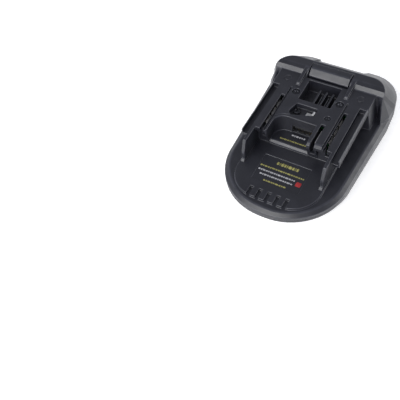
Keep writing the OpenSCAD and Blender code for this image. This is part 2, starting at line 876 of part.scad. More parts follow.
module detect_contact() {
    x1 = recess_x0 + recess_w - 0.5;
    y0 = recess_y + 4.6;
    color("#d8d6cc") {
        box(x1 - 5.6, x1, y0, y0 + 3, recess_z, recess_z + 0.5);
        box(x1 - 0.5, x1, y0, y0 + 3, recess_z, platform_z - 0.4);
        box(x1 - 1.4, x1, y0, y0 + 3, platform_z - 0.9, platform_z - 0.4);
    }
}

module detect_screw() {
    color("#55575c")
        screw(detect_screw_xy, recess_z, small_screw_d, small_head_d, 1.6, detect_screw_l);
}

module usb_shell() {
    color("#c9cbd0")
        difference() {
            box(usb_x0, usb_x1, usb_y, usb_y + usb_l, board_z, board_z + usb_h);
            box(usb_x0 + shell_t, usb_x1 - shell_t, usb_y - eps, usb_y + usb_l - shell_t,
                board_z + shell_t, board_z + usb_h - shell_t);
        }
}

module usb_tongue() {
    inset = shell_t + 0.05;
    back = usb_y + usb_l - inset;
    tongue_x = usb_w / 2 - 1;
    color("#f0f0ec") {
        box(usb_x0 + inset, usb_x1 - inset, back - usb_base_l, back, board_z + inset, board_z + usb_h - inset);
        box(usb_x - tongue_x, usb_x + tongue_x, usb_y + 1.4, back - usb_base_l + eps,
            tongue_z, tongue_z + tongue_t);
    }
}

module usb_contacts() {
    y1 = usb_y + usb_l - shell_t - usb_base_l - eps;
    color("#d8b25a")
        for (i = [-1.5:1:1.5])
            translate([usb_x + i * usb_pin_pitch, 0, 0])
                box(-usb_pin_w / 2, usb_pin_w / 2, usb_y + 2.4, y1, tongue_z - usb_pin_t, tongue_z);
}

module circuit_board() {
    x = board_w / 2;
    color("#2c6b45")
        difference() {
            union() {
                box(-x, x, board_y0, board_y1, board_z - board_t, board_z);
                box(-x, pocket_x0 - well_wall - 0.4, arm_y, board_y0 + eps, board_z - board_t, board_z);
                box(signal_x1 + well_wall + 0.4, x, arm_y, board_y0 + eps, board_z - board_t, board_z);
            }
            for (p = board_screw_xy)
                rod(p, small_screw_d + 0.4, board_z - board_t - eps, board_z + eps);
        }
}

module choke_core() {
    color("#4a4a4e") {
        rod(choke_xy, choke_d, board_under - 1, board_under);
        rod(choke_xy, choke_d * 0.45, board_under - choke_h + eps, board_under - eps);
        rod(choke_xy, choke_d, board_under - choke_h, board_under - choke_h + 1);
    }
}

module choke_winding() {
    color("#b0672f")
        difference() {
            rod(choke_xy, choke_d - 1, board_under - choke_h + 1, board_under - 1);
            rod(choke_xy, choke_d * 0.45 + 0.1, board_under - choke_h, board_under);
        }
}

module capacitors() {
    color("#b9bcc2")
        for (y = [10, 18.5])
            rod([7, board_y0 + y], cap_d, board_under - cap_h, board_under);
}

module regulator_chip() {
    color("#232326")
        box(-2.5, 2.5, board_y0 + 18, board_y0 + 24, board_z, board_z + 1.4);
}

module small_chips() {
    color("#2f2a26")
        for (p = [[-12, 11], [-9, 11], [10, 12], [12.6, 12], [5, 20], [-6, 20]])
            translate([p.x, board_y0 + p.y, board_z])
                box(-0.8, 0.8, -1.6, 1.6, 0, 0.9);
}

module terminal_block() {
    color("#1c1d21")
        difference() {
            box(-terminal_x, terminal_x, bay_y, bay_y + terminal_l, bay_z - terminal_h, bay_z);
            for (x = blade_x)
                box(x - blade_t / 2 - eps, x + blade_t / 2 + eps, tail_y0 - 1.2, bay_y + terminal_l + eps,
                    blade_z - eps, bay_z + eps);
            for (p = terminal_screw_xy)
                rod(p, small_screw_d + screw_gap, bay_z - 7, bay_z + eps);
        }
}

module blade(x, t, length) {
    box(x - t / 2, x + t / 2, tail_y0 - 1, length, blade_z, blade_z + blade_h);
    box(x - t / 2, x + t / 2, tail_y0, tail_y1, blade_z + blade_h - eps, tail_z);
}

module battery_blade_positive() {
    color("#d3ccb8")
        blade(-blade_pitch / 2, blade_t, blade_y1);
}

module battery_blade_negative() {
    color("#d3ccb8")
        blade(blade_pitch / 2, blade_t, blade_y1);
}

module battery_signal_blades() {
    color("#d3ccb8")
        for (x = signal_blade_x)
            blade(x, 0.8 * blade_t, blade_y1 - 6);
}

// Power lead from a blade's tail to the underside of a board arm
module power_lead() {
    x0 = blade_pitch / 2;
    x1 = power_x + 0.6;
    run = arm_y - tail_y1;
    tube([
        [x0, tail_y1, wire_z], [x0, tail_y1 + 0.15 * run, wire_z], [x0 + 1.5, tail_y1 + 0.4 * run, wire_z],
        [x1 - 1.5, tail_y1 + 0.85 * run, wire_z], [x1, arm_y + 1, wire_z], [x1, arm_y + 2.8, wire_z + 1],
        [x1, arm_y + 3.6, wire_z + 2.4], [x1, arm_y + 3.6, board_under]
    ], power_wire_d / 2, [1, 0, 0]);
}

module positive_wire() {
    color("#b3261e")
        mirror([1, 0, 0])
            power_lead();
}

module negative_wire() {
    color("#1b1b1d")
        power_lead();
}

module signal_wires() {
    color("#d8c23a")
        for (x = signal_blade_x)
            tube([
                [x, tail_y1, wire_z], [x, tail_y1 + 6, wire_z], [x, board_y0 - 3, wire_z],
                [x, board_y0 + 0.6, wire_z + 0.6], [x, board_y0 + 2, wire_z + 2],
                [x, board_y0 + 2, board_under]
            ], signal_wire_d / 2, [1, 0, 0]);
}

module case_screws() {
    color("#8b8d92")
        for (p = case_screw_xy)
            translate([p.x, p.y, case_seat_z])
                mirror([0, 0, 1])
                    screw([0, 0], 0, case_screw_d, case_head_d, 2, case_screw_l);
}

module platform_screws() {
    color("#3a3b40") {
        for (p = top_screw_xy)
            screw(p, top_seat_z, small_screw_d, small_head_d, 1, top_screw_l);
        screw(star_screw_xy, star_seat_z, star_screw_d, star_head_d, 0.9, star_screw_l);
    }
}

module terminal_screws() {
    color("#8b8d92")
        for (p = terminal_screw_xy)
            screw(p, seam_z, small_screw_d, 4, 1.2, 8.6);
}

module board_screws() {
    color("#8b8d92")
        for (p = board_screw_xy)
            screw(p, board_z, small_screw_d, 4, 1.4, 6.6);
}

upper_housing();
lower_housing();
release_latch();
latch_springs();
power_contact_positive();
power_contact_negative();
signal_contact();
socket_contacts();
detect_contact();
detect_screw();
usb_shell();
usb_tongue();
usb_contacts();
circuit_board();
choke_core();
choke_winding();
capacitors();
regulator_chip();
small_chips();
terminal_block();
battery_blade_positive();
battery_blade_negative();
battery_signal_blades();
positive_wire();
negative_wire();
signal_wires();
case_screws();
platform_screws();
terminal_screws();
board_screws();
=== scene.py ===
import math

import bmesh
import bpy
import numpy as np
from mathutils import Matrix, Vector
from mathutils.bvhtree import BVHTree
from mathutils.geometry import delaunay_2d_cdt


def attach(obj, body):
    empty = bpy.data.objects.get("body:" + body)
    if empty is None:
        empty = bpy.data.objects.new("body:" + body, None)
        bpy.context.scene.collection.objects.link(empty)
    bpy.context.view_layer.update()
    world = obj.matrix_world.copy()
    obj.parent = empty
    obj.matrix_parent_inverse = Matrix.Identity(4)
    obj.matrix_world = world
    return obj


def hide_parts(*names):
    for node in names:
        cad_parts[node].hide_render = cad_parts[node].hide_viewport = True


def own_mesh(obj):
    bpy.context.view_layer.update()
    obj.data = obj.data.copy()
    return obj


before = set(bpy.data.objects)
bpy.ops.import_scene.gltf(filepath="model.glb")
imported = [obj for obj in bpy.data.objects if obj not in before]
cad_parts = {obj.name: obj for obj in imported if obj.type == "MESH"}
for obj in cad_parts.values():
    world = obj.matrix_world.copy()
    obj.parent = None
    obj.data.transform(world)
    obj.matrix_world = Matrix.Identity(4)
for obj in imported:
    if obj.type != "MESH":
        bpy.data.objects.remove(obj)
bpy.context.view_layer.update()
mm = 0.001
scene = bpy.context.scene
scene.view_settings.view_transform = "Standard"
print("frame loaded:", len(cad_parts), "nodes")

# camera: looks down at the nose from the right, with the part right of and above the middle
cameraLook = {
    "aim": (0, -3 * mm, 38 * mm),
    "azimuth": 23.355,
    "elevation": 48.035,
    "distance": 362.4 * mm,
    "roll": 0.337,
    "yaw": -9.709,
    "pitch": -7.518,
    "lens": 54,
    "sensor": 36,
}


# unit vector towards a place seen at this azimuth from the nose, in degrees to the right, and this elevation
def wayTo(azimuth, elevation):
    a, e = math.radians(azimuth), math.radians(elevation)
    return Vector((math.sin(a) * math.cos(e), -math.cos(a) * math.cos(e), math.sin(e)))


# two unit vectors turned in their own plane
def turned(first, second, degrees):
    c, s = math.cos(math.radians(degrees)), math.sin(math.radians(degrees))
    return first * c + second * s, second * c - first * s


def makeCamera(look):
    back = wayTo(look["azimuth"], look["elevation"])
    ahead = -back
    right = ahead.cross(Vector((0, 0, 1))).normalized()
    up = right.cross(ahead)
    right, up = turned(right, up, look["roll"])
    ahead, right = turned(ahead, right, look["yaw"])
    ahead, up = turned(ahead, up, look["pitch"])
    data = bpy.data.cameras.new("viewCamera")
    data.sensor_fit = "HORIZONTAL"
    data.sensor_width = look["sensor"]
    data.lens = look["lens"]
    data.clip_start = 0.01
    camera = bpy.data.objects.new("viewCamera", data)
    place = Matrix((right, up, -ahead)).transposed().to_4x4()
    place.translation = Vector(look["aim"]) + back * look["distance"]
    camera.matrix_world = place
    scene.collection.objects.link(camera)
    scene.camera = camera


makeCamera(cameraLook)
print("camera made")


# shader maths: a Flow is a socket, and sums and products of flows and numbers add Math nodes
class Flow:
    def __init__(self, tree, socket=None):
        self.tree, self.socket = tree, socket

    # any node: its settings first, then the values or links of its sockets
    def node(self, kind, settings=None, sockets=None, out=0):
        made = self.tree.nodes.new("ShaderNode" + kind)
        for name, value in (settings or {}).items():
            setattr(made, name, value)
        for name, value in (sockets or {}).items():
            if isinstance(value, Flow):
                self.tree.links.new(value.socket, made.inputs[name])
            else:
                made.inputs[name].default_value = value
        return Flow(self.tree, made.outputs[out])

    def maths(self, operation, first, second=0.0):
        return self.node("Math", {"operation": operation}, {0: first, 1: second})

    def __add__(self, other):
        return self.maths("ADD", self, other)

    def __radd__(self, other):
        return self.maths("ADD", other, self)

    def __sub__(self, other):
        return self.maths("SUBTRACT", self, other)

    def __rsub__(self, other):
        return self.maths("SUBTRACT", other, self)

    def __mul__(self, other):
        return self.maths("MULTIPLY", self, other)

    def __rmul__(self, other):
        return self.maths("MULTIPLY", other, self)

    # 0 below low, 1 above high, smooth between them
    def fade(self, low, high):
        return self.node("MapRange", {"interpolation_type": "SMOOTHSTEP"},
                         {"Value": self, "From Min": low, "From Max": high})


def srgb(red, green, blue):
    v = np.array([red, green, blue]) / 255
    return tuple(np.where(v < 0.04045, v / 12.92, ((v + 0.055) / 1.055) ** 2.4).tolist())


# a material: fixed values go straight on the shader's sockets, build gives what varies
def makeMaterial(name, fixed, build):
    material = bpy.data.materials.new(name)
    material.use_nodes = True
    tree = material.node_tree
    shader = tree.nodes["Principled BSDF"]
    for socket, value in fixed.items():
        shader.inputs[socket].default_value = value
    for socket, value in build(Flow(tree)).items():
        tree.links.new(value.socket, shader.inputs[socket])
    return material


def partCoords(flow):
    return flow.node("TexCoord", out="Object")


def noise(flow, coords, size, detail, stretch=(1, 1, 1)):
    place = flow.node("Mapping", {}, {"Vector": coords, "Scale": tuple(s / size for s in stretch)})
    return flow.node("TexNoise", {}, {"Vector": place, "Scale": 1.0, "Detail": detail, "Roughness": 0.55})


def mixColour(flow, factor, first, second):
    return flow.node("Mix", {"data_type": "RGBA"}, {0: factor, 6: first, 7: second}, out=2)


def bump(flow, height, depth, strength):
    return flow.node("Bump", {}, {"Height": height, "Distance": depth, "Strength": strength})


plasticMarks = {"cloud": 9 * mm, "cloudFade": (0.35, 0.68), "cloudRough": 0.1, "grainRough": 0.12,
                "scuff": 2.2 * mm, "scuffWay": (1, 0.12, 0.5), "scuffFade": (0.62, 0.75), "scuffRough": 0.06}
metalMarks = {"stain": 1.6 * mm, "stainFade": (0.45, 0.75), "stainRough": 0.12, "lineRough": 0.2,
              "lineDepth": 0.01 * mm, "strength": 0.4}


# moulded plastic: fine spark grain, cloudy handling marks and a few hairline scuffs
def plastic(name, look):
    def build(flow):
        coords = partCoords(flow)
        grain = noise(flow, coords, look["grain"], 2)
        cloud = noise(flow, coords, plasticMarks["cloud"], 3).fade(*plasticMarks["cloudFade"])
        scuff = noise(flow, coords, plasticMarks["scuff"], 4, plasticMarks["scuffWay"])
        scuff = scuff.fade(*plasticMarks["scuffFade"])
        dark, light = ((*(c * (1 + change) for c in look["colour"]), 1)
                       for change in (-look["change"], look["change"]))
        worn = (cloud - 0.5) * plasticMarks["cloudRough"] + (grain - 0.5) * plasticMarks["grainRough"]
        return {
            "Base Color": mixColour(flow, cloud, dark, light),
            "Roughness": look["rough"] + worn - scuff * plasticMarks["scuffRough"],
            "Normal": bump(flow, grain, look["depth"], look["strength"]),
        }

    return makeMaterial(name, {"IOR": look["ior"]}, build)


# metal: rolled or drawn lines along one way, and a little tarnish
def metal(name, look):
    def build(flow):
        coords = partCoords(flow)
        lines = noise(flow, coords, look["line"], 3, look["way"])
        stain = noise(flow, coords, metalMarks["stain"], 3).fade(*metalMarks["stainFade"])
        colour = mixColour(flow, stain, (*look["colour"], 1), (*look["tarnish"], 1))
        return {
            "Base Color": colour,
            "Roughness": (look["rough"] + (lines - 0.5) * metalMarks["lineRough"]
                          + stain * metalMarks["stainRough"]),
            "Normal": bump(flow, lines, metalMarks["lineDepth"], metalMarks["strength"]),
        }

    return makeMaterial(name, {"Metallic": 1.0}, build)


plasticLooks = {
    "upperShell": {"colour": srgb(25, 26, 33), "rough": 0.42, "grain": 0.3 * mm, "depth": 0.02 * mm,
                   "strength": 0.4, "change": 0.1, "ior": 1.58},
    # paler plastic for the rounded edges: handling wear, and a painted highlight along every edge
    "edgeWearAndHighlight": {"colour": srgb(44, 45, 52), "rough": 0.36, "grain": 0.5 * mm, "depth": 0.01 * mm,
                  "strength": 0.3, "change": 0.12, "ior": 1.52},
    "lowerShell": {"colour": srgb(27, 28, 34), "rough": 0.46, "grain": 0.34 * mm, "depth": 0.025 * mm,
                   "strength": 0.5, "change": 0.1, "ior": 1.5},
    "latchBody": {"colour": srgb(27, 28, 35), "rough": 0.4, "grain": 0.26 * mm, "depth": 0.015 * mm,
                  "strength": 0.5, "change": 0.09, "ior": 1.58},
    "terminalPlastic": {"colour": srgb(34, 35, 39), "rough": 0.55, "grain": 0.4 * mm, "depth": 0.03 * mm,
                        "strength": 0.6, "change": 0.1, "ior": 1.5},
    "tonguePlastic": {"colour": srgb(30, 30, 33), "rough": 0.42, "grain": 0.3 * mm, "depth": 0.01 * mm,
                      "strength": 0.3, "change": 0.04, "ior": 1.5},
    "chipEpoxy": {"colour": srgb(38, 37, 38), "rough": 0.62, "grain": 0.12 * mm, "depth": 0.02 * mm,
                  "strength": 0.6, "change": 0.12, "ior": 1.5},
    "ferriteCore": {"colour": srgb(70, 69, 72), "rough": 0.72, "grain": 0.18 * mm, "depth": 0.04 * mm,
                    "strength": 0.8, "change": 0.15, "ior": 1.6},
    "redSleeve": {"colour": srgb(172, 34, 28), "rough": 0.45, "grain": 0.6 * mm, "depth": 0.01 * mm,
                  "strength": 0.3, "change": 0.06, "ior": 1.5},
    "blackSleeve": {"colour": srgb(30, 30, 32), "rough": 0.45, "grain": 0.6 * mm, "depth": 0.01 * mm,
                    "strength": 0.3, "change": 0.08, "ior": 1.5},
    "yellowSleeve": {"colour": srgb(208, 184, 52), "rough": 0.45, "grain": 0.6 * mm, "depth": 0.01 * mm,
                     "strength": 0.3, "change": 0.06, "ior": 1.5},
    "yellowInk": {"colour": srgb(142, 138, 82), "rough": 0.6, "grain": 0.15 * mm, "depth": 0.006 * mm,
                  "strength": 0.5, "change": 0.16, "ior": 1.45},
    "whiteInk": {"colour": srgb(166, 166, 170), "rough": 0.6, "grain": 0.15 * mm, "depth": 0.006 * mm,
                 "strength": 0.5, "change": 0.14, "ior": 1.45},
    "redInk": {"colour": srgb(158, 44, 46), "rough": 0.6, "grain": 0.15 * mm, "depth": 0.006 * mm,
               "strength": 0.5, "change": 0.14, "ior": 1.45},
}
metalLooks = {
    "springSteel": {"colour": srgb(190, 192, 197), "tarnish": srgb(150, 148, 144), "rough": 0.24,
                    "line": 0.12 * mm, "way": (1, 1, 1)},
    "contactMetal": {"colour": srgb(222, 222, 222), "tarnish": srgb(182, 180, 174), "rough": 0.34,
                     "line": 0.1 * mm, "way": (1, 0.06, 1)},
    # steel darkened below bare steel as painted shade, for the socket shell and its leaves that sit in shadow
    "shadedSocketSteel": {"colour": srgb(128, 129, 133), "tarnish": srgb(96, 96, 98), "rough": 0.3,
                    "line": 0.1 * mm, "way": (1, 0.05, 1)},
    "goldPlate": {"colour": srgb(226, 184, 92), "tarnish": srgb(196, 152, 74), "rough": 0.2,
                  "line": 0.08 * mm, "way": (1, 0.08, 1)},
    "zincScrew": {"colour": srgb(186, 188, 190), "tarnish": srgb(150, 150, 140), "rough": 0.3,
                  "line": 0.1 * mm, "way": (1, 1, 0.3)},
    "blackScrew": {"colour": srgb(62, 63, 68), "tarnish": srgb(46, 46, 50), "rough": 0.46,
                   "line": 0.1 * mm, "way": (1, 1, 0.3)},
    "copperWire": {"colour": srgb(206, 122, 66), "tarnish": srgb(160, 84, 46), "rough": 0.24,
                   "line": 0.1 * mm, "way": (1, 1, 1)},
    "tinnedEnd": {"colour": srgb(196, 196, 194), "tarnish": srgb(160, 158, 152), "rough": 0.28,
                  "line": 0.1 * mm, "way": (1, 1, 1)},
    "canMetal": {"colour": srgb(206, 207, 210), "tarnish": srgb(184, 184, 186), "rough": 0.3,
                 "line": 0.08 * mm, "way": (1, 1, 0.1)},
}
finishes = {name: plastic(name, look) for name, look in plasticLooks.items()}
finishes.update({name: metal(name, look) for name, look in metalLooks.items()})

boardLook = {"mask": srgb(22, 84, 50), "trace": srgb(40, 116, 66), "cell": 3.2 * mm, "runFade": (0.05, 0.09),
             "weave": 0.5 * mm, "weaveWay": (1, 0.3, 1), "rough": 0.34, "weaveRough": 0.16, "depth": 0.03 * mm}


# solder mask with a faint glass weave, and copper runs that show through it as paler green
def buildBoard(flow):
    coords = partCoords(flow)
    cells = flow.node("TexVoronoi", {"feature": "DISTANCE_TO_EDGE", "distance": "EUCLIDEAN"},
                      {"Vector": coords, "Scale": 1 / boardLook["cell"]}, out="Distance")
    runs = 1 - cells.fade(*boardLook["runFade"])
    weave = noise(flow, coords, boardLook["weave"], 2, boardLook["weaveWay"])
    colour = mixColour(flow, runs, (*boardLook["mask"], 1), (*boardLook["trace"], 1))
    return {
        "Base Color": colour,
        "Roughness": boardLook["rough"] + (weave - 0.5) * boardLook["weaveRough"],
        "Normal": bump(flow, runs * 0.6 + weave * 0.4, boardLook["depth"], 0.5),
    }


finishes["boardMask"] = makeMaterial("boardMask", {"IOR": 1.5, "Coat Weight": 0.3}, buildBoard)
print("materials made:", len(finishes))


# corner numbers of each quad in a grid of rows x columns points
def gridQuads(rows, columns, loopColumns=False):
    r, c = np.meshgrid(np.arange(rows - 1), np.arange(columns if loopColumns else columns - 1), indexing="ij")
    nextC = (c + 1) % columns
    corners = [r * columns + c, r * columns + nextC, (r + 1) * columns + nextC, (r + 1) * columns + c]
    return np.stack(corners, -1).reshape(-1, 4)


# a grid of points as (points, faces, finish numbers): its rows are loops, and the first and last are closed
def gridPart(points, finish=0):
    rows, columns = points.shape[:2]
    faces = gridQuads(rows, columns, True).tolist()
    faces += [list(range(columns)), list(range((rows - 1) * columns, rows * columns))]
    marks = np.full(len(faces), finish) if np.isscalar(finish) else np.asarray(finish)
    return points.reshape(-1, 3), faces, marks


def rideOn(piece, body, nodes):
    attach(piece, body)
    if nodes:
        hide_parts(*nodes)


# several parts as one piece: doubles merged, faces turned outwards, smooth but for folds over the fold angle
def makePiece(name, parts, looks, body, nodes, fold=35):
    points, faces, marks, first = [], [], [], 0
    for partPoints, partFaces, partMarks in parts:
        points.append(partPoints)
        faces += [[first + i for i in face] for face in partFaces]
        marks.append(partMarks)
        first += len(partPoints)
    mesh = bpy.data.meshes.new(name)
    mesh.from_pydata(np.concatenate(points).tolist(), [], faces)
    mesh.polygons.foreach_set("material_index", np.concatenate(marks).astype(np.int32))
    for look in looks:
        mesh.materials.append(finishes[look])
    work = bmesh.new()
    work.from_mesh(mesh)
    bmesh.ops.remove_doubles(work, verts=work.verts, dist=1e-7)
    bmesh.ops.recalc_face_normals(work, faces=work.faces)
    work.to_mesh(mesh)
    work.free()
    mesh.polygons.foreach_set("use_smooth", np.ones(len(mesh.polygons), bool))
    mesh.set_sharp_from_angle(angle=math.radians(fold))
    piece = bpy.data.objects.new(name, mesh)
    scene.collection.objects.link(piece)
    rideOn(piece, body, nodes)
    return piece


# a profile carried along a path: at each point the profile's first axis lies along side, its second across both
def sweep(path, profile, side):
    along = np.gradient(path, axis=0)
    along /= np.linalg.norm(along, axis=1, keepdims=True)
    across = np.cross(along, side)
    across /= np.linalg.norm(across, axis=1, keepdims=True)
    sides = np.cross(across, along)
    profile = np.broadcast_to(profile, (len(path),) + np.shape(profile)[-2:])
    return path[:, None] + profile[..., :1] * sides[:, None] + profile[..., 1:] * across[:, None]


# closed outline of a rectangle with round corners, four quarter arcs of n points
def roundLoop(x0, x1, y0, y1, radius, n):
    turn = np.radians(np.linspace(0, 90, n)[None] + np.array([0, 90, 180, 270])[:, None])
    cx = np.array([x1 - radius, x0 + radius, x0 + radius, x1 - radius])[:, None]
    cy = np.array([y1 - radius, y1 - radius, y0 + radius, y0 + radius])[:, None]
    return np.stack([cx + radius * np.cos(turn), cy + radius * np.sin(turn)], -1).reshape(-1, 2)


def circle(radius, n):
    turn = np.linspace(0, 2 * np.pi, n, endpoint=False)
    return radius * np.stack([np.cos(turn), np.sin(turn)], -1)


# rows of (radius, height) turned about an upright line through x, y
def turnedRows(x, y, radius, height, n):
    turn = np.linspace(0, 2 * np.pi, n, endpoint=False)
    radius, height = np.asarray(radius)[:, None], np.asarray(height)[:, None]
    return np.stack([x + radius * np.cos(turn), y + radius * np.sin(turn), height + 0 * turn], -1)


# points set evenly along a smooth curve through the given points
def smoothPath(points, n):
    points = np.asarray(points, float)
    padded = np.concatenate([2 * points[:1] - points[1:2], points, 2 * points[-1:] - points[-2:-1]])
    t = np.linspace(0, len(points) - 1 - 1e-9, n)
    i = t.astype(int)
    f = (t - i)[:, None]
    a, b, c, d = (padded[i + k] for k in range(4))
    return 0.5 * (2 * b + (c - a) * f + (2 * a - 5 * b + 4 * c - d) * f ** 2 + (3 * b - a - 3 * c + d) * f ** 3)


# moulded and stamped pieces that keep the imported shape, with their edges rounded
# worn is the finish of the rounded edges, where it differs from that of the faces: paler plastic for handling wear,
# and also a painted highlight along every edge
copyLooks = {
    "upperHousing": {"node": "upper_housing", "slot": "upper_shell", "finish": "upperShell", "worn": "edgeWearAndHighlight",
                     "edge": 0.34 * mm, "steps": 3},
    "lowerHousing": {"node": "lower_housing", "slot": "lower_shell", "finish": "lowerShell", "worn": "edgeWearAndHighlight",
                     "edge": 0.34 * mm, "steps": 3},
    "releaseLatch": {"node": "release_latch", "slot": "latch_plastic", "finish": "latchBody", "worn": "edgeWearAndHighlight",
                     "edge": 0.4 * mm, "steps": 3, "body": "latch"},
    "terminalBlock": {"node": "terminal_block", "slot": "block_plastic", "finish": "terminalPlastic",
                      "edge": 0.3 * mm, "steps": 2},
    "usbTongue": {"node": "usb_tongue", "slot": "tongue_plastic", "finish": "tonguePlastic", "edge": 0.2 * mm,
                  "steps": 2},
    "usbPins": {"node": "usb_contacts", "slot": "gold_pins", "finish": "goldPlate", "edge": 0.08 * mm, "steps": 2},
    "positiveBlade": {"node": "battery_blade_positive", "slot": "contact_metal", "finish": "contactMetal",
                      "edge": 0.3 * mm, "steps": 2},
    "negativeBlade": {"node": "battery_blade_negative", "slot": "contact_metal", "finish": "contactMetal",
                      "edge": 0.3 * mm, "steps": 2},
    "signalBlades": {"node": "battery_signal_blades", "slot": "contact_metal", "finish": "contactMetal",
                     "edge": 0.25 * mm, "steps": 2},
    "signalLeaf": {"node": "signal_contact", "slot": "contact_metal", "finish": "contactMetal", "edge": 0.2 * mm,
                   "steps": 2},
    # these leaves take the darkened steel: painted shade
    "socketLeaves": {"node": "socket_contacts", "slot": "contact_metal", "finish": "shadedSocketSteel",
                     "edge": 0.2 * mm, "steps": 2},
    "circuitBoard": {"node": "circuit_board", "slot": "board_laminate", "finish": "boardMask", "edge": 0.12 * mm,
                     "steps": 1},
    "chokeCore": {"node": "choke_core", "slot": "ferrite", "finish": "ferriteCore", "edge": 0.15 * mm, "steps": 2},
}
mergeGap = 0.02 * mm
flatAngle = math.radians(0.6)  # triangles that meet at less than this are joined
foldAngle = math.radians(12)  # folds over this are rounded
softAngle = math.radians(60)  # folds under this get a wider rounding, up to widest times the edge
sharpAngle = math.radians(42)  # folds left over this stay sharp in the shading
widest = 4
edgeShare = 0.42  # most of a narrow face, or of a short side, that one rounded edge may take


# how far a face reaches from one of its edges
def reach(face, edge):
    start = edge.verts[0].co
    along = (edge.verts[1].co - start).normalized()
    return max(((v.co - start) - along * (v.co - start).dot(along)).length for v in face.verts)


# lengths of the edges that leave an edge's ends at a clear angle
def sideLengths(edge):
    along = (edge.verts[1].co - edge.verts[0].co).normalized()
    for corner in edge.verts:
        for other in corner.link_edges:
            way = (other.verts[1].co - other.verts[0].co).normalized()
            if other != edge and abs(along.dot(way)) < 0.9:
                yield other.calc_length()


# flat faces with many corners: each outline is filled by a Delaunay net, kept where the outline winds round it
def refill(mesh):
    work = bmesh.new()
    work.from_mesh(mesh)
    strength = work.faces.layers.int.get("__mod_weightednormals_faceweight")
    old = [f for f in work.faces if f.material_index == 0 and len(f.verts) > 4]
    for face in old:
        corners = list(face.verts)
        spots = np.array([v.co for v in corners]) / mm
        normal = np.array(face.normal)
        across = np.cross(normal, np.eye(3)[np.argmin(abs(normal))])
        across /= np.linalg.norm(across)
        axes = np.stack([across, np.cross(normal, across)])
        flat = (spots - spots[0]) @ axes.T
        ring = [(i, (i + 1) % len(flat)) for i in range(len(flat))]
        net, _, triangles, sources, _, _ = delaunay_2d_cdt([Vector(q) for q in flat], ring, [], 0, 1e-5)
        net = np.array(net)
        middle = net[np.array(triangles)].mean(1)
        a = flat[None] - middle[:, None]
        b = np.roll(a, -1, axis=1)
        turn = np.arctan2(a[..., 0] * b[..., 1] - a[..., 1] * b[..., 0], (a * b).sum(-1)).sum(1)
        points = [corners[source[0]] if source else work.verts.new((spots[0] + q @ axes) * mm)
                  for q, source in zip(net, sources)]
        for triangle, wind in zip(triangles, turn):
            three = [points[i] for i in triangle]
            if wind > 3 and len(set(three)) == 3 and not work.faces.get(three):
                new = work.faces.new(three)
                new.smooth = True
                new[strength] = face[strength]
    bmesh.ops.delete(work, geom=old, context="FACES_ONLY")
    work.to_mesh(mesh)
    work.free()


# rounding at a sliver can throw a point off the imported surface: such a point goes to the middle of its neighbours
def pullSpikes(mesh, surface, most):
    work = bmesh.new()
    work.from_mesh(mesh)
    far = {v for v in work.verts if surface.find_nearest(v.co)[3] > most}
    for v in far:
        near = [e.other_vert(v).co for e in v.link_edges if e.other_vert(v) not in far]
        if near:
            v.co = sum(near, Vector()) / len(near)
    work.to_mesh(mesh)
    work.free()
    return len(far)


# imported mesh, doubles merged and flat triangles joined; each fold is rounded, shallow ones more widely, as far as
# its narrower face allows
def roundedCopy(name, look):
    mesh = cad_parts[look["node"]].data.copy()
    mesh.name = name
    mesh.materials.clear()
    for finish in (look["finish"], look.get("worn", look["finish"])):
        mesh.materials.append(finishes[finish])
    work = bmesh.new()
    work.from_mesh(mesh)
    bmesh.ops.remove_doubles(work, verts=work.verts, dist=mergeGap)
    bmesh.ops.dissolve_limit(work, angle_limit=flatAngle, verts=work.verts, edges=work.edges)
    weight = work.edges.layers.float.new("bevel_weight_edge")
    for edge in work.edges:
        fold = edge.calc_face_angle(0)
        if len(edge.link_faces) == 2 and fold > foldAngle:
            room = min([reach(face, edge) for face in edge.link_faces] + list(sideLengths(edge)))
            soft = 1 + (widest - 1) * max(0, 1 - fold / softAngle)
            edge[weight] = min(soft, edgeShare * room / look["edge"]) / widest
    surface = BVHTree.FromBMesh(work)
    work.to_mesh(mesh)
    work.free()
    mesh.polygons.foreach_set("material_index", np.zeros(len(mesh.polygons), np.int32))
    mesh.polygons.foreach_set("use_smooth", np.ones(len(mesh.polygons), bool))
    piece = bpy.data.objects.new(name, mesh)
    scene.collection.objects.link(piece)
    rounding = piece.modifiers.new("edges", "BEVEL")
    rounding.limit_method = "WEIGHT"
    rounding.width = look["edge"] * widest
    rounding.segments = look["steps"]
    # rounded edges take the paler worn finish, which is partly a painted highlight
    rounding.material = 1
    rounding.use_clamp_overlap = False
    rounding.face_strength_mode = "FSTR_ALL"
    graph = bpy.context.evaluated_depsgraph_get()
    piece.data = bpy.data.meshes.new_from_object(piece.evaluated_get(graph), preserve_all_data_layers=True,
                                                 depsgraph=graph)
    piece.data.name = name
    piece.modifiers.clear()
    pulled = pullSpikes(piece.data, surface, look["edge"])
    refill(piece.data)
    piece.data.set_sharp_from_angle(angle=sharpAngle)
    shading = piece.modifiers.new("flatFaces", "WEIGHTED_NORMAL")
    shading.use_face_influence = True
    shading.keep_sharp = True
    shading.mode = "FACE_AREA_WITH_ANGLE"
    shading.weight = 100
    rideOn(piece, look.get("body", "adapter"), [look["node"]])
    return pulled


pulledBack = sum(roundedCopy(name, look) for name, look in copyLooks.items())
print("rounded copies:", len(copyLooks), "with", pulledBack, "points pulled back")

# latch springs: coils with closed end turns
springLook = {"x": 9 * mm, "y": 46 * mm, "low": 17.1 * mm, "high": 25.9 * mm, "radius": 2.6 * mm,
              "wire": 0.4 * mm, "turns": 6, "closed": 0.9}


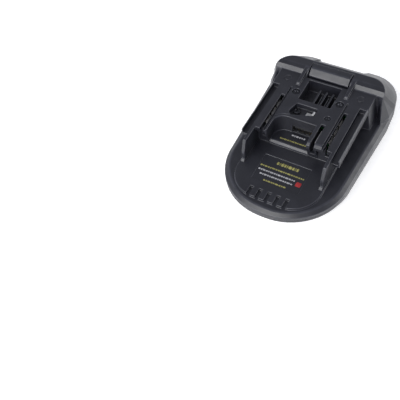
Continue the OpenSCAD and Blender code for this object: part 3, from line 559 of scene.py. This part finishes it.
# centre line: a circle that climbs; the rise eases off over the end turns so that they lie flat
def coilPath(look, x):
    t = np.linspace(0, 1, int(look["turns"] * 28))
    ends = look["closed"] / look["turns"]
    climb = np.clip((t - ends) / (1 - 2 * ends), 0, 1)
    flat = 2 * look["wire"] * (np.minimum(t, ends) + np.maximum(t - 1 + ends, 0)) / ends
    low, high = look["low"] + look["wire"], look["high"] - look["wire"]
    z = low + (high - low - 4 * look["wire"]) * climb + flat
    turn = 2 * np.pi * look["turns"] * t
    return np.stack([x + look["radius"] * np.cos(turn), look["y"] + look["radius"] * np.sin(turn), z], -1)


coils = [gridPart(sweep(coilPath(springLook, x), circle(springLook["wire"], 10), (0, 0, 1)))
         for x in (-springLook["x"], springLook["x"])]
springs = makePiece("latchSprings", coils, ["springSteel"], "adapter", ["latch_springs"], 60)
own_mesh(springs)
print("springs made")

# screws: threaded shank, domed head and a cross recess
screwSets = {
    "platformScrews": {
        "node": "platform_screws", "finish": "blackScrew", "slot": "dark_screw", "up": 1,
        "groups": [
            {"at": [(14.1, 17.3), (-14.1, 17.3)], "seat": 36.8, "shank": 2, "head": 4.4, "rise": 1, "length": 7.6},
            {"at": [(12, 4.2)], "seat": 37, "shank": 1.6, "head": 3.4, "rise": 0.9, "length": 3.4},
        ],
    },
    "detectScrew": {
        "node": "detect_screw", "finish": "blackScrew", "slot": "dark_screw", "up": 1,
        "groups": [{"at": [(-7.8, 5)], "seat": 34.4, "shank": 2, "head": 4.4, "rise": 1.6, "length": 2.2}],
    },
    "terminalScrews": {
        "node": "terminal_screws", "finish": "zincScrew", "slot": "zinc_screw", "up": 1,
        "groups": [
            {"at": [(15.4, -21), (-15.4, -21)], "seat": 17, "shank": 2, "head": 4, "rise": 1.2, "length": 8.6},
        ],
    },
    "boardScrews": {
        "node": "board_screws", "finish": "zincScrew", "slot": "zinc_screw", "up": 1,
        "groups": [
            {"at": [(18, 22.5), (-18, 22.5), (14.8, 2.3), (-14.8, 2.3)], "seat": 25.5, "shank": 2, "head": 4,
             "rise": 1.4, "length": 6.6},
        ],
    },
    "caseScrews": {
        "node": "case_screws", "finish": "zincScrew", "slot": "zinc_screw", "up": -1,
        "groups": [
            {"at": [(22, -36), (-22, -36), (34.66, 37), (-34.66, 37)], "seat": 6, "shank": 2.6, "head": 4.6,
             "rise": 2, "length": 15},
        ],
    },
}
# the tip's taper is in shank diameters; the crown and recess are shares of the head's rise, the cross of its width
screwShape = {"pitch": 0.9 * mm, "depth": 0.22 * mm, "tip": 1.2, "crown": 0.28, "recess": 0.5, "slit": 0.075,
              "arm": 0.31, "soft": 0.05, "sides": 48}


# rows from tip to crown: the thread's depth is a wave that climbs one pitch a turn,
# and the head is a dome less a cross
def screwPart(x, y, up, g):
    shape = screwShape
    turn = np.linspace(0, 2 * np.pi, shape["sides"], endpoint=False)[None]
    shank, head, rise, length = (g[k] * mm for k in ("shank", "head", "rise", "length"))
    s = np.linspace(0, 1, int(length / shape["pitch"] * 7))[:, None]
    point = np.clip(s * length / (shape["tip"] * shank), 0.02, 1)
    wave = 0.5 - 0.5 * np.cos(2 * np.pi * s * length / shape["pitch"] - turn)
    shankR = (shank / 2 - shape["depth"] * wave * np.clip((1 - s) * 9, 0, 1)) * point
    shankZ = -length * (1 - s) + 0 * turn
    crown = shape["crown"] * rise
    sideR = head / 2 * np.array([0.97, 1, 1, 0.98])[:, None] + 0 * turn
    sideZ = np.array([0, 0.04 * mm, rise - crown - 0.1 * mm, rise - crown])[:, None] + 0 * turn
    r = np.linspace(0.95, 0.001, 16)[:, None] * head / 2
    px, py = np.abs(r * np.cos(turn)), np.abs(r * np.sin(turn))
    slit, arm, soft = (shape[k] * head for k in ("slit", "arm", "soft"))
    cross = [np.clip((slit - a) / soft + 0.5, 0, 1) * np.clip((arm - b) / soft + 0.5, 0, 1)
             for a, b in ((px, py), (py, px))]
    topZ = rise - crown * (r / (head / 2)) ** 2 - shape["recess"] * rise * np.maximum(*cross)
    rowsR = np.concatenate([shankR, sideR, r + 0 * turn])
    rowsZ = np.concatenate([shankZ, sideZ, topZ])
    return gridPart(np.stack([x * mm + rowsR * np.cos(turn), y * mm + rowsR * np.sin(turn),
                              g["seat"] * mm + up * rowsZ], -1))


for name, kit in screwSets.items():
    parts = [screwPart(x, y, kit["up"], g) for g in kit["groups"] for x, y in g["at"]]
    makePiece(name, parts, [kit["finish"]], "adapter", [kit["node"]], 38)
print("screws made")

# tool contacts: two bowed leaves on a foot in each long slot
powerLook = {"x": 20.2, "front": -10.4, "back": 11.1, "foot": 25.5, "top": 35.4, "gap": 1.3, "metal": 0.5,
             "leaves": 3, "slit": 1.0, "pinch": 0.42, "pinchZ": 33.4, "pinchTall": 1.1, "flare": 0.22,
             "flareTall": 1.2, "footHalf": 0.3, "corner": 0.2}


# a leaf climbs from the foot, bows in where a blade is gripped and turns out again at its lip
def leafPath(look, x, outwards):
    z = np.linspace(look["foot"] + look["footHalf"], look["top"], 26)
    bow = look["pinch"] * np.exp(-((z - look["pinchZ"]) / look["pinchTall"]) ** 2)
    lip = look["flare"] * np.clip((z - look["top"]) / look["flareTall"] + 1, 0, 1) ** 2
    away = look["gap"] / 2 + look["metal"] / 2 - bow + lip
    return np.stack([x + outwards * away, 0 * z, z], -1) * mm


def powerContact(name, node, x):
    look = powerLook
    corner, footHalf = look["corner"] * mm, look["footHalf"] * mm
    step = (look["back"] - look["front"]) / look["leaves"]
    parts = []
    for k in range(look["leaves"]):
        middle = (look["front"] + (k + 0.5) * step - look["slit"] / 2) * mm
        half = (step - look["slit"]) / 2 * mm
        bar = roundLoop(-half, half, -look["metal"] / 2 * mm, look["metal"] / 2 * mm, corner, 4)
        for outwards in (-1, 1):
            path = leafPath(look, x, outwards) + np.array([0, middle, 0])
            parts.append(gridPart(sweep(path, bar, (0, 1, 0))))
    wide = (look["gap"] / 2 + look["metal"]) * mm
    foot = roundLoop(-wide, wide, -footHalf, footHalf, corner, 4)
    ends = [look["front"], look["back"]]
    run = np.stack([np.full(2, x), ends, np.full(2, look["foot"] + look["footHalf"])], -1) * mm
    parts.append(gridPart(sweep(run, foot, (1, 0, 0))))
    makePiece(name, parts, ["contactMetal"], "adapter", [node], 40)


powerContact("positiveContact", "power_contact_positive", -powerLook["x"])
powerContact("negativeContact", "power_contact_negative", powerLook["x"])

# bent leaf in the round-ended recess
detectLook = {"left": -1.9, "right": 3.7, "tip": 2.3, "y": 5.0, "width": 3.0, "low": 34.4, "top": 37.6,
              "metal": 0.5, "bend": 0.6}


# foot, a quarter bend up, the upright, a quarter bend back over and the lip
def detectPath(look):
    half, bend = look["metal"] / 2, look["bend"]
    x1, z0, z1 = look["right"] - half, look["low"] + half, look["top"] - half
    turn = np.radians(np.linspace(0, 90, 8))
    x = np.concatenate([[look["left"]], x1 - bend + bend * np.sin(turn), x1 - bend + bend * np.cos(turn),
                        [look["tip"]]])
    z = np.concatenate([[z0], z0 + bend - bend * np.cos(turn), z1 - bend + bend * np.sin(turn), [z1]])
    return np.stack([x, np.full(len(x), look["y"]), z], -1) * mm


strap = roundLoop(-detectLook["width"] / 2 * mm, detectLook["width"] / 2 * mm, -detectLook["metal"] / 2 * mm,
                  detectLook["metal"] / 2 * mm, 0.15 * mm, 4)
makePiece("detectLeaf", [gridPart(sweep(detectPath(detectLook), strap, (0, 1, 0)))], ["contactMetal"],
          "adapter", ["detect_contact"], 40)
print("tool contacts made")

# charging socket: folded steel shell with a rolled mouth, and two spring tongues in its floor
socketLook = {"x0": -7.1, "x1": 6.1, "z0": 25.5, "z1": 31.2, "front": -3.4, "back": 10.4, "metal": 0.35,
              "corner": 0.8, "tongues": (-3.6, 2.6), "tongueWide": 1.7, "tongueHalf": 0.12,
              "tongueRun": (1.0, 7.5), "hump": 0.55}


# each row is the round-cornered outline drawn in by inset at depth y
def socketRow(look, inset, y):
    loop = roundLoop(look["x0"] + inset, look["x1"] - inset, look["z0"] + inset, look["z1"] - inset,
                     look["corner"] - inset, 6)
    return np.stack([loop[:, 0], np.full(len(loop), y), loop[:, 1]], -1) * mm


def makeSocket(look):
    front, back, metal = look["front"], look["back"], look["metal"]
    rows = [(0, back), (0, back - 0.1), (0, front + 0.12), (0.05, front), (0.2, front), (metal, front + 0.3),
            (metal, back - metal - 0.01), (metal, back - metal)]
    parts = [gridPart(np.stack([socketRow(look, *row) for row in rows]))]
    wide, half = look["tongueWide"] / 2 * mm, look["tongueHalf"] * mm
    bar = roundLoop(-wide, wide, -half, half, 0.08 * mm, 3)
    y = front + np.linspace(*look["tongueRun"], 18)
    hump = look["hump"] * np.sin(np.clip((y - y[0]) / (y[-1] - y[0]), 0, 1) * np.pi) ** 1.4
    for x in look["tongues"]:
        path = np.stack([np.full(len(y), x), y, look["z0"] + metal + 0.05 + hump], -1) * mm
        parts.append(gridPart(sweep(path, bar, (1, 0, 0))))
    # the shell takes the darkened steel: painted shade
    makePiece("socketShell", parts, ["shadedSocketSteel"], "adapter", ["usb_shell"], 40)


makeSocket(socketLook)

# parts of the charging circuit
canLook = {"at": [(7, 8.5), (7, 17)], "board": 23.9, "tall": 5.6, "radius": 3.15, "sides": 48}


# metal can hanging from the board: plastic base, crimped waist, straight side and a rounded end
def capacitorPart(look, x, y):
    r, low, high = look["radius"], look["board"] - look["tall"], look["board"]
    base = [(0.001, high), (r, high), (r, high - 0.7), (r - 0.1, high - 0.8)]
    can = [(r - 0.1, high - 0.85), (r - 0.1, high - 1.3), (r - 0.3, high - 1.6), (r - 0.1, high - 1.9),
           (r - 0.1, low + 0.5), (r - 0.25, low + 0.15), (r - 0.6, low), (0.001, low)]
    rows = np.array(base + can)
    marks = np.repeat(np.arange(len(rows) - 1) >= len(base), look["sides"]).astype(int).tolist() + [0, 1]
    return gridPart(turnedRows(x * mm, y * mm, rows[:, 0] * mm, rows[:, 1] * mm, look["sides"]), finish=marks)


makePiece("capacitorCans", [capacitorPart(canLook, x, y) for x, y in canLook["at"]],
          ["chipEpoxy", "canMetal"], "adapter", ["capacitors"], 40)

windingLook = {"x": -7, "y": 12, "low": 19.95, "high": 22.85, "wire": 0.24, "layers": (4.25, 3.8, 3.35, 2.9)}


# copper wire wound layer on layer round the drum: each layer is a helix with turns a wire apart
def windingPart(look, radius, flip):
    turns = (look["high"] - look["low"] - 2 * look["wire"]) / (2 * look["wire"])
    t = np.linspace(0, 1, int(turns * 30))
    turn = 2 * np.pi * turns * t
    rise = t if flip else 1 - t
    z = look["low"] + look["wire"] + (look["high"] - look["low"] - 2 * look["wire"]) * rise
    path = np.stack([look["x"] + radius * np.cos(turn), look["y"] + radius * np.sin(turn), z], -1) * mm
    return gridPart(sweep(path, circle(look["wire"] * mm, 8), (0, 0, 1)))


windings = [windingPart(windingLook, radius, k % 2) for k, radius in enumerate(windingLook["layers"])]
makePiece("chokeWinding", windings, ["copperWire"], "adapter", ["choke_winding"], 60)

chipLook = {"x": 0, "y": 19.5, "low": 25.5, "body": (1.75, 2.95), "tall": 1.4, "leads": 4, "pitch": 1.3,
            "toe": 2.48}


# moulded body with drafted sides and gull-wing leads down both long sides
def makeRegulator(look):
    bx, by = look["body"]
    rows = [(0.2, 0.12), (0.06, 0.2), (0, 0.75), (0.1, look["tall"] - 0.08), (0.2, look["tall"])]
    loops = [roundLoop(-bx + i, bx - i, -by + i, by - i, 0.25, 4) for i, _ in rows]
    body = np.stack([np.stack([look["x"] + p[:, 0], look["y"] + p[:, 1], np.full(len(p), look["low"] + h)], -1)
                     for p, (_, h) in zip(loops, rows)]) * mm
    parts = [gridPart(body)]
    bar = roundLoop(-0.2 * mm, 0.2 * mm, -0.08 * mm, 0.08 * mm, 0.05 * mm, 3)
    for k in range(look["leads"]):
        y = look["y"] + (k - (look["leads"] - 1) / 2) * look["pitch"]
        for s in (-1, 1):
            corners = [(bx - 0.2, 0.75), (bx + 0.1, 0.74), (bx + 0.22, 0.5), (bx + 0.3, 0.2), (bx + 0.42, 0.09),
                       (look["toe"], 0.085)]
            path = np.array([(look["x"] + s * x, y, look["low"] + z) for x, z in corners])
            parts.append(gridPart(sweep(smoothPath(path, 14) * mm, bar, (0, 1, 0)), finish=1))
    makePiece("regulatorChip", parts, ["chipEpoxy", "tinnedEnd"], "adapter", ["regulator_chip"], 40)


makeRegulator(chipLook)

resistorLook = {"at": [(-12, 11), (-9, 11), (10, 12), (12.6, 12), (5, 20), (-6, 20)], "boardY": -1.5, "low": 25.5,
                "half": (0.8, 1.6), "tall": 0.9, "cap": 0.45}


# chip body between two tinned end caps that stand a little proud of it
def resistorPart(look, x, y):
    hx, hy = look["half"]
    rows = [(0.06, -hy), (0, -hy + 0.06), (0, -hy + look["cap"]), (0.05, -hy + look["cap"]),
            (0.05, hy - look["cap"]), (0, hy - look["cap"]), (0, hy - 0.06), (0.06, hy)]
    loops = [roundLoop(-hx + i, hx - i, i, look["tall"] - i, 0.1, 3) for i, _ in rows]
    points = np.stack([np.stack([x + p[:, 0], np.full(len(p), y + look["boardY"] + d), look["low"] + p[:, 1]], -1)
                       for p, (_, d) in zip(loops, rows)]) * mm
    marks = np.repeat([1, 1, 1, 0, 1, 1, 1], points.shape[1]).tolist() + [1, 1]
    return gridPart(points, finish=marks)


makePiece("chipParts", [resistorPart(resistorLook, x, y) for x, y in resistorLook["at"]],
          ["chipEpoxy", "tinnedEnd"], "adapter", ["small_chips"], 40)
print("socket and circuit made")

# leads between the blades' tails and the board: sleeve with a bare tinned end at each end
leadLook = {"tailX": 12, "tailY": -20.0, "armX": 20.8, "armY": -11.5, "boardY": -1.5, "low": 18.9, "board": 23.9,
            "strip": 0.07, "bareSize": 0.62, "powerRadius": 1.0, "signalRadius": 0.6, "signalX": (-4, 0, 4),
            "sides": 16}


def leadPart(points, radius):
    path = smoothPath(points, 60) * mm
    along = np.linspace(0, 1, len(path))
    bare = np.minimum(along, 1 - along) < leadLook["strip"]
    size = np.where(bare, leadLook["bareSize"], 1.0)[:, None, None]
    sides = leadLook["sides"]
    marks = np.repeat(bare[:-1] & bare[1:], sides).astype(int).tolist() + [1, 1]
    return gridPart(sweep(path, circle(radius * mm, sides)[None] * size, (1, 0, 0)), finish=marks)


def powerRoute(look, s):
    x0, x1, y, arm, z = (look[k] for k in ("tailX", "armX", "tailY", "armY", "low"))
    run = arm - y
    points = [(x0, y, z), (x0, y + 0.15 * run, z), (x0 + 1.5, y + 0.4 * run, z), (x1 - 1.5, y + 0.85 * run, z),
              (x1, arm + 1, z), (x1, arm + 2.8, z + 1), (x1, arm + 3.6, z + 2.4), (x1, arm + 3.6, look["board"])]
    return [(s * px, py, pz) for px, py, pz in points]


def signalRoute(look, x):
    z, y1 = look["low"], look["boardY"]
    return [(x, look["tailY"], z), (x, look["tailY"] + 6, z), (x, y1 - 3, z), (x, y1 + 0.6, z + 0.6),
            (x, y1 + 2, z + 2), (x, y1 + 2, look["board"])]


makePiece("positiveLead", [leadPart(powerRoute(leadLook, -1), leadLook["powerRadius"])],
          ["redSleeve", "tinnedEnd"], "adapter", ["positive_wire"], 50)
makePiece("negativeLead", [leadPart(powerRoute(leadLook, 1), leadLook["powerRadius"])],
          ["blackSleeve", "tinnedEnd"], "adapter", ["negative_wire"], 50)
signalLeads = [leadPart(signalRoute(leadLook, x), leadLook["signalRadius"]) for x in leadLook["signalX"]]
makePiece("signalLeads", signalLeads, ["yellowSleeve", "tinnedEnd"], "adapter",
          ["signal_wires"], 50)
print("leads made")

# plain printed bars in the label field and on the pocket floor
printLook = {
    "thick": 0.03,
    "sunk": 0.02,  # how far a bar's foot goes into the face
    "inset": 0.04,  # how far its top is drawn in
    "round": 0.22,  # its corner radius, as a share of its width
    "bars": (1.3, 0.8, 1.7, 1.1, 0.9, 2.0),  # lengths of the bars, used in turn along a row
    "space": 0.35,
    "least": 0.6,  # a row ends where less than this is left
    "rows": [  # height of the face, middle of the row, bar width, finish, ends of the row
        (22.4, -27.0, 2.2, 0, -5.7, 8.2),
        (22.4, -31.7, 1.0, 0, -14.4, 13.7),
        (22.4, -34.8, 1.0, 1, -14.2, 9.4),
        (22.4, -37.7, 1.0, 1, -12.0, 9.0),
        (22.4, -41.4, 1.0, 0, -7.8, 6.5),
        (25.4, -6.0, 1.2, 1, -6.0, 2.7),
        (25.4, -10.6, 0.9, 0, -11.8, 6.2),
    ],
    "patch": (22.4, -36.4, 3.2, 2, 10.6, 13.8),
}


# (from, to) of the bars that fill a row
def barSpans(x0, x1):
    spans, turn = [], 0
    while x0 < x1 - printLook["least"]:
        end = min(x0 + printLook["bars"][turn % len(printLook["bars"])], x1)
        spans.append((x0, end))
        x0, turn = end + printLook["space"], turn + 1
    return spans


# a bar of ink: round-ended outline, its top a little inside its foot
def inkBar(z, y, wide, finish, x0, x1):
    rows, thick, radius = [], printLook["thick"], printLook["round"] * wide
    for inset, h in ((0, -printLook["sunk"]), (0, 0.6 * thick), (printLook["inset"], thick)):
        loop = roundLoop(x0 + inset, x1 - inset, y - wide / 2 + inset, y + wide / 2 - inset, radius, 4)
        rows.append(np.column_stack([loop, np.full(len(loop), z + h)]))
    return gridPart(np.stack(rows) * mm, finish=finish)


def inkRow(z, y, wide, finish, x0, x1):
    return [inkBar(z, y, wide, finish, *ends) for ends in barSpans(x0, x1)]


bars = [bar for row in printLook["rows"] for bar in inkRow(*row)]
bars.append(inkBar(*printLook["patch"]))
makePiece("labelBars", bars, ["yellowInk", "whiteInk", "redInk"], "adapter", [])
print("print made:", len(bars), "bars")

# floor, lamps and surroundings
stageLook = {"floor": srgb(236, 236, 236), "glow": 0.45, "horizon": 1.1, "ceiling": 0.36,
             "tint": (0.94, 0.96, 1.06), "fade": (0.2, 0.42), "half": 3, "points": 13, "low": -0.05 * mm}


def makeFloor(look):
    n = look["points"]
    side = np.linspace(-look["half"], look["half"], n)
    x, y = np.meshgrid(side, side, indexing="ij")
    points = np.stack([x, y, np.full(x.shape, look["low"])], -1)
    mesh = bpy.data.meshes.new("paleFloor")
    mesh.from_pydata(points.reshape(-1, 3).tolist(), [], gridQuads(n, n)[:, ::-1].tolist())
    material = bpy.data.materials.new("paleFloor")
    material.use_nodes = True
    tree = material.node_tree
    flow = Flow(tree)
    seen = flow.node("LightPath", out="Is Camera Ray") + flow.node("LightPath", out="Is Glossy Ray")
    cloth = flow.node("BsdfDiffuse", {}, {"Color": (*look["floor"], 1)})
    glow = flow.node("Emission", {}, {"Color": (1, 1, 1, 1), "Strength": seen * look["glow"]})
    total = flow.node("AddShader", {}, {0: cloth, 1: glow})
    tree.links.new(total.socket, tree.nodes["Material Output"].inputs["Surface"])
    mesh.materials.append(material)
    floor = bpy.data.objects.new("paleFloor", mesh)
    scene.collection.objects.link(floor)


makeFloor(stageLook)

lampAim = Vector((0, 0, 25 * mm))
lampLooks = {
    "frontBox": {"azimuth": -12, "elevation": 33, "distance": 1.0, "size": (1.0, 1.0), "power": 15},
    "rightBox": {"azimuth": 122, "elevation": 21, "distance": 1.0, "size": (0.6, 0.5), "power": 3.4},
}


def makeLamp(name, look):
    back = wayTo(look["azimuth"], look["elevation"])
    data = bpy.data.lights.new(name, "AREA")
    data.shape = "RECTANGLE"
    data.size, data.size_y = look["size"]
    data.energy = look["power"]
    lamp = bpy.data.objects.new(name, data)
    turn = back.to_track_quat("Z", "Y").to_matrix().to_4x4()
    lamp.matrix_world = Matrix.Translation(lampAim + back * look["distance"]) @ turn
    scene.collection.objects.link(lamp)


for name, look in lampLooks.items():
    makeLamp(name, look)


# pale walls round a dim ceiling
def makeWorld(look):
    world = bpy.data.worlds.new("paleRoom")
    world.use_nodes = True
    scene.world = world
    tree = world.node_tree
    flow = Flow(tree)
    way = flow.node("TexCoord", out="Generated")
    height = flow.node("SeparateXYZ", {}, {"Vector": way}, out="Z")
    strength = look["ceiling"] + (look["horizon"] - look["ceiling"]) * (1 - height.fade(*look["fade"]))
    tree.links.new(strength.socket, tree.nodes["Background"].inputs["Strength"])
    tree.nodes["Background"].inputs["Color"].default_value = (*look["tint"], 1)


makeWorld(stageLook)
print("stage made")
